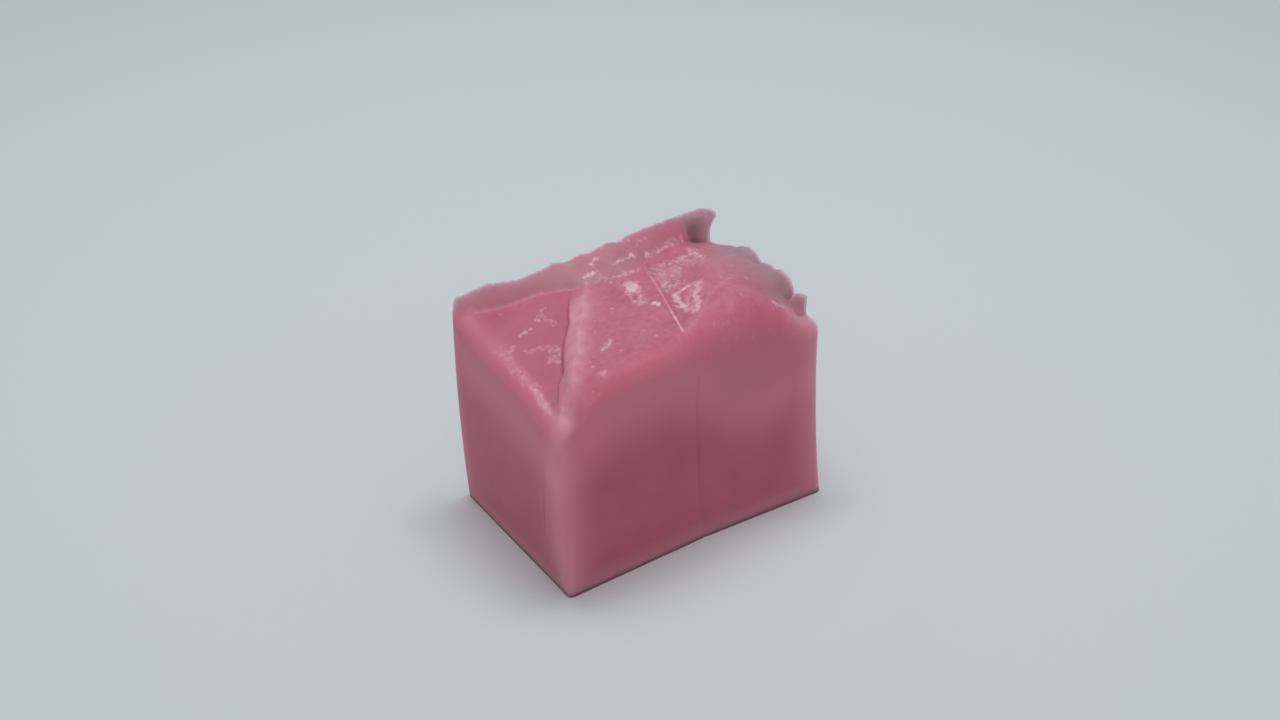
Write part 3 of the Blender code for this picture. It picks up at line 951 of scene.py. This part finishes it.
# Colour of the painted glow and highlights
PAINTED_GLOW_PINK = (0.85, 0.40, 0.48, 1.0)
THIN_LILAC = (0.43, 0.272, 0.322, 1.0)
# Painted shade of the flap's hollow
CURL_PAINTED_SHADE = (0.165, 0.14, 0.15, 1.0)
GLOW_PINK = (0.92, 0.24, 0.335, 1.0)
# Frost of the wet break, partly painted glints
FROST_AND_GLINT_PINK = (1.0, 0.61, 0.70, 1.0)
# Painted red shade along the foot, and its height
FOOT_SHADE_RED = (0.95, 0.08, 0.11, 1.0)
FOOT_SHADE_HEIGHT = 0.8 * MM
CLOUD_SIZE = 7.0 * MM
CLOUD_LEVELS = (0.3, 0.7)
CLOUD_DETAIL = 2.5
FLECK_SIZE = 0.9 * MM
SLICED_FLECKS = 0.0
TORN_FLECKS = 0.5
SLICED_ROUGHNESS = 0.50
TORN_ROUGHNESS = 0.40
WET_ROUGHNESS = 0.13
COAT_ROUGHNESS = 0.10
PORE_RATE = 2600.0
PORE_DETAIL = 3.0
PORE_DEPTH = 0.05 * MM
SLICED_PORES = 0.10
TORN_PORES = 0.22
WET_PORES = 0.9
SCATTER_DEPTH = 8.0 * MM
SCATTER_RATIO = (1.0, 0.50, 0.55)
JELLY_IOR = 1.42
JELLY_SPECULAR = 0.30


def mix_colour(tree, factor, first, second):
    mixed = add_node(tree, "ShaderNodeMix", {0: factor, 6: first, 7: second}, data_type="RGBA")
    return mixed.outputs[2]


def mix_value(tree, factor, first, second):
    return add_node(tree, "ShaderNodeMix", {0: factor, 2: first, 3: second}, data_type="FLOAT").outputs[0]


def noise_at(tree, place, scale, detail):
    inputs = {"Vector": place, "Scale": scale, "Detail": detail}
    return add_node(tree, "ShaderNodeTexNoise", inputs).outputs[0]


def gel_clouds():
    """Shader group: the uneven depth of colour in starch gel, as soft clouds with finer flecks."""
    tree = bpy.data.node_groups.new("gel_clouds", "ShaderNodeTree")
    for name in ("Deep", "Pale"):
        tree.interface.new_socket(name, in_out="INPUT", socket_type="NodeSocketColor")
    for name in ("Cloud Size", "Fleck Size", "Fleck Share"):
        tree.interface.new_socket(name, in_out="INPUT", socket_type="NodeSocketFloat")
    tree.interface.new_socket("Color", in_out="OUTPUT", socket_type="NodeSocketColor")
    given = add_node(tree, "NodeGroupInput").outputs
    place = add_node(tree, "ShaderNodeTexCoord").outputs["Object"]
    clouds, flecks = (
        noise_at(tree, place, calculate(tree, "DIVIDE", 1.0, given[size]), CLOUD_DETAIL)
        for size in ("Cloud Size", "Fleck Size")
    )
    share = span(tree, mix_value(tree, given["Fleck Share"], clouds, flecks), *CLOUD_LEVELS)
    add_node(tree, "NodeGroupOutput", {"Color": mix_colour(tree, share, given["Deep"], given["Pale"])})
    return tree


def gel_colour(tree, gel, deep, pale, fleck_share):
    inputs = {
        "Deep": deep, "Pale": pale,
        "Cloud Size": CLOUD_SIZE, "Fleck Size": FLECK_SIZE, "Fleck Share": fleck_share,
    }
    return add_node(tree, "ShaderNodeGroup", inputs, node_tree=gel).outputs["Color"]


def block_material():
    """The jelly: its colour, gloss and pores follow the shares that the mesh carries."""
    material = bpy.data.materials.new("uiro_jelly")
    material.use_nodes = True
    tree = material.node_tree
    shader = tree.nodes["Principled BSDF"]
    place = add_node(tree, "ShaderNodeTexCoord").outputs["Object"]
    torn, wet, thin_and_shade, pale, glow, frost_and_glint = (
        add_node(tree, "ShaderNodeAttribute", attribute_name=name).outputs["Fac"]
        for name in (*SHARES, "frost_and_glint")
    )
    gel = gel_clouds()
    sliced_gel = gel_colour(tree, gel, *SLICED_PINK, SLICED_FLECKS)
    torn_gel = gel_colour(tree, gel, *TORN_PINK, TORN_FLECKS)
    colour = mix_colour(tree, torn, sliced_gel, torn_gel)
    # Painted glow: light coming in at the torn edge and up from the foot
    colour = mix_colour(tree, glow, colour, GLOW_PINK)
    # Painted light: pale glow near cut edges and in thin jelly, and highlight lines
    colour = mix_colour(tree, pale, colour, PAINTED_GLOW_PINK)
    # Greyer where the jelly is thin, partly painted shade; past THIN_SHARE the painted shade of the flap's
    # hollow
    colour = mix_colour(tree, span(tree, thin_and_shade, 0.0, THIN_SHARE), colour, THIN_LILAC)
    colour = mix_colour(tree, span(tree, thin_and_shade, THIN_SHARE, 1.0), colour, CURL_PAINTED_SHADE)
    # Frost of the wet break, with painted glints in its wettest cores
    colour = mix_colour(tree, frost_and_glint, colour, FROST_AND_GLINT_PINK)
    # Painted warm red shade on the bottom of the foot
    up = add_node(tree, "ShaderNodeSeparateXYZ", {"Vector": place}).outputs["Z"]
    colour = mix_colour(tree, span(tree, up, FOOT_SHADE_HEIGHT, 0.0), colour, FOOT_SHADE_RED)
    tree.links.new(colour, shader.inputs["Base Color"])
    glossy = calculate(tree, "MULTIPLY", wet, wet)
    rough = mix_value(tree, torn, SLICED_ROUGHNESS, TORN_ROUGHNESS)
    tree.links.new(mix_value(tree, glossy, rough, WET_ROUGHNESS), shader.inputs["Roughness"])
    tree.links.new(glossy, shader.inputs["Coat Weight"])
    pores = noise_at(tree, place, PORE_RATE, PORE_DETAIL)
    depth = mix_value(tree, wet, mix_value(tree, torn, SLICED_PORES, TORN_PORES), WET_PORES)
    dented = add_node(tree, "ShaderNodeBump", {"Height": pores, "Strength": depth, "Distance": PORE_DEPTH})
    tree.links.new(dented.outputs[0], shader.inputs["Normal"])
    shader.inputs["Subsurface Weight"].default_value = 1.0
    shader.inputs["Subsurface Radius"].default_value = SCATTER_RATIO
    shader.inputs["Subsurface Scale"].default_value = SCATTER_DEPTH
    shader.inputs["IOR"].default_value = JELLY_IOR
    shader.inputs["Specular IOR Level"].default_value = JELLY_SPECULAR
    shader.inputs["Coat Roughness"].default_value = COAT_ROUGHNESS
    return material


block = make_block()
run_tree(block, relief_tree(), {
    "Grain Size": 1.7 * MM, "Grain Height": 0.08 * MM,
    "Crumb Size": 1.1 * MM, "Crumb Height": 0.07 * MM,
    "Speck Spacing": 1.3 * MM, "Speck Share": 0.5,
    "Seed": 3.0, "Jelly": block_material(),
})
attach(block, "root")
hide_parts("uiro_block")


# The floor
# A plain pale sheet of paper that the block stands on. It isn't part of the object.

FLOOR_SIZE = 4.0
FLOOR_COLOUR = (0.76, 0.82, 0.84, 1.0)
FLOOR_ROUGHNESS = 0.8
FLOOR_GAP = 0.03 * MM


def make_floor():
    bpy.ops.mesh.primitive_plane_add(size=FLOOR_SIZE, location=(0.0, 0.0, -FLOOR_GAP))
    floor = bpy.context.object
    floor.name = "floor"
    material = bpy.data.materials.new("floor_paper")
    material.use_nodes = True
    shader = material.node_tree.nodes["Principled BSDF"]
    shader.inputs["Base Color"].default_value = FLOOR_COLOUR
    shader.inputs["Roughness"].default_value = FLOOR_ROUGHNESS
    floor.data.materials.append(material)
    return floor


make_floor()


# Light and view
# A wide soft box and a narrow bright one over the block and a little behind it, a weaker one in front, a
# window behind that only glints on the wet places, and a dim even surround. The camera looks down on the
# front left edge.

CAMERA_PLACE = (-0.14424, -0.20545, 0.17893)
CAMERA_TURN = (58.6, 0.0, -34.977)
CAMERA_LENS = 52.03
CAMERA_CLIP = 0.005
VIEW_TURN = CAMERA_TURN[2]
# The lights, as (name, place, turn, size, power)
SOFT_BOXES = (
    ("overhead", (0.04, 0.06, 0.55), (0.0, 0.0, VIEW_TURN), (0.60, 0.40), 0.70),
    ("bright_panel", (0.05, 0.07, 0.52), (0.0, 0.0, VIEW_TURN), (0.30, 0.10), 0.72),
    ("front_fill", (-0.30, -0.45, 0.35), (60.0, 0.0, VIEW_TURN), (0.40, 0.40), 0.28),
)
BACK_WINDOW = ("back_window", (0.30, 0.43, 0.36), (60.0, 0.0, VIEW_TURN + 180.0), (0.30, 0.12), 0.15)
SURROUND_COLOUR = (0.90, 0.97, 1.0, 1.0)
SURROUND_STRENGTH = 0.28


def add_soft_box(name, place, turn, size, power):
    light = bpy.data.lights.new(name, "AREA")
    light.shape = "RECTANGLE"
    light.size, light.size_y = size
    light.energy = power
    lamp = bpy.data.objects.new(name, light)
    lamp.location = place
    lamp.rotation_euler = [math.radians(angle) for angle in turn]
    bpy.context.scene.collection.objects.link(lamp)
    return lamp


def add_surround(colour, strength):
    world = bpy.data.worlds.new("surround")
    world.use_nodes = True
    background = world.node_tree.nodes["Background"]
    background.inputs["Color"].default_value = colour
    background.inputs["Strength"].default_value = strength
    bpy.context.scene.world = world


def add_camera():
    camera = bpy.data.objects.new("camera", bpy.data.cameras.new("camera"))
    camera.data.lens = CAMERA_LENS
    camera.location = CAMERA_PLACE
    camera.rotation_euler = [math.radians(turn) for turn in CAMERA_TURN]
    camera.data.clip_start = CAMERA_CLIP
    bpy.context.scene.collection.objects.link(camera)
    bpy.context.scene.camera = camera


for soft_box in SOFT_BOXES:
    add_soft_box(*soft_box)
window = add_soft_box(*BACK_WINDOW)
window.visible_diffuse = False
add_surround(SURROUND_COLOUR, SURROUND_STRENGTH)
add_camera()
bpy.context.scene.view_settings.view_transform = "Standard"
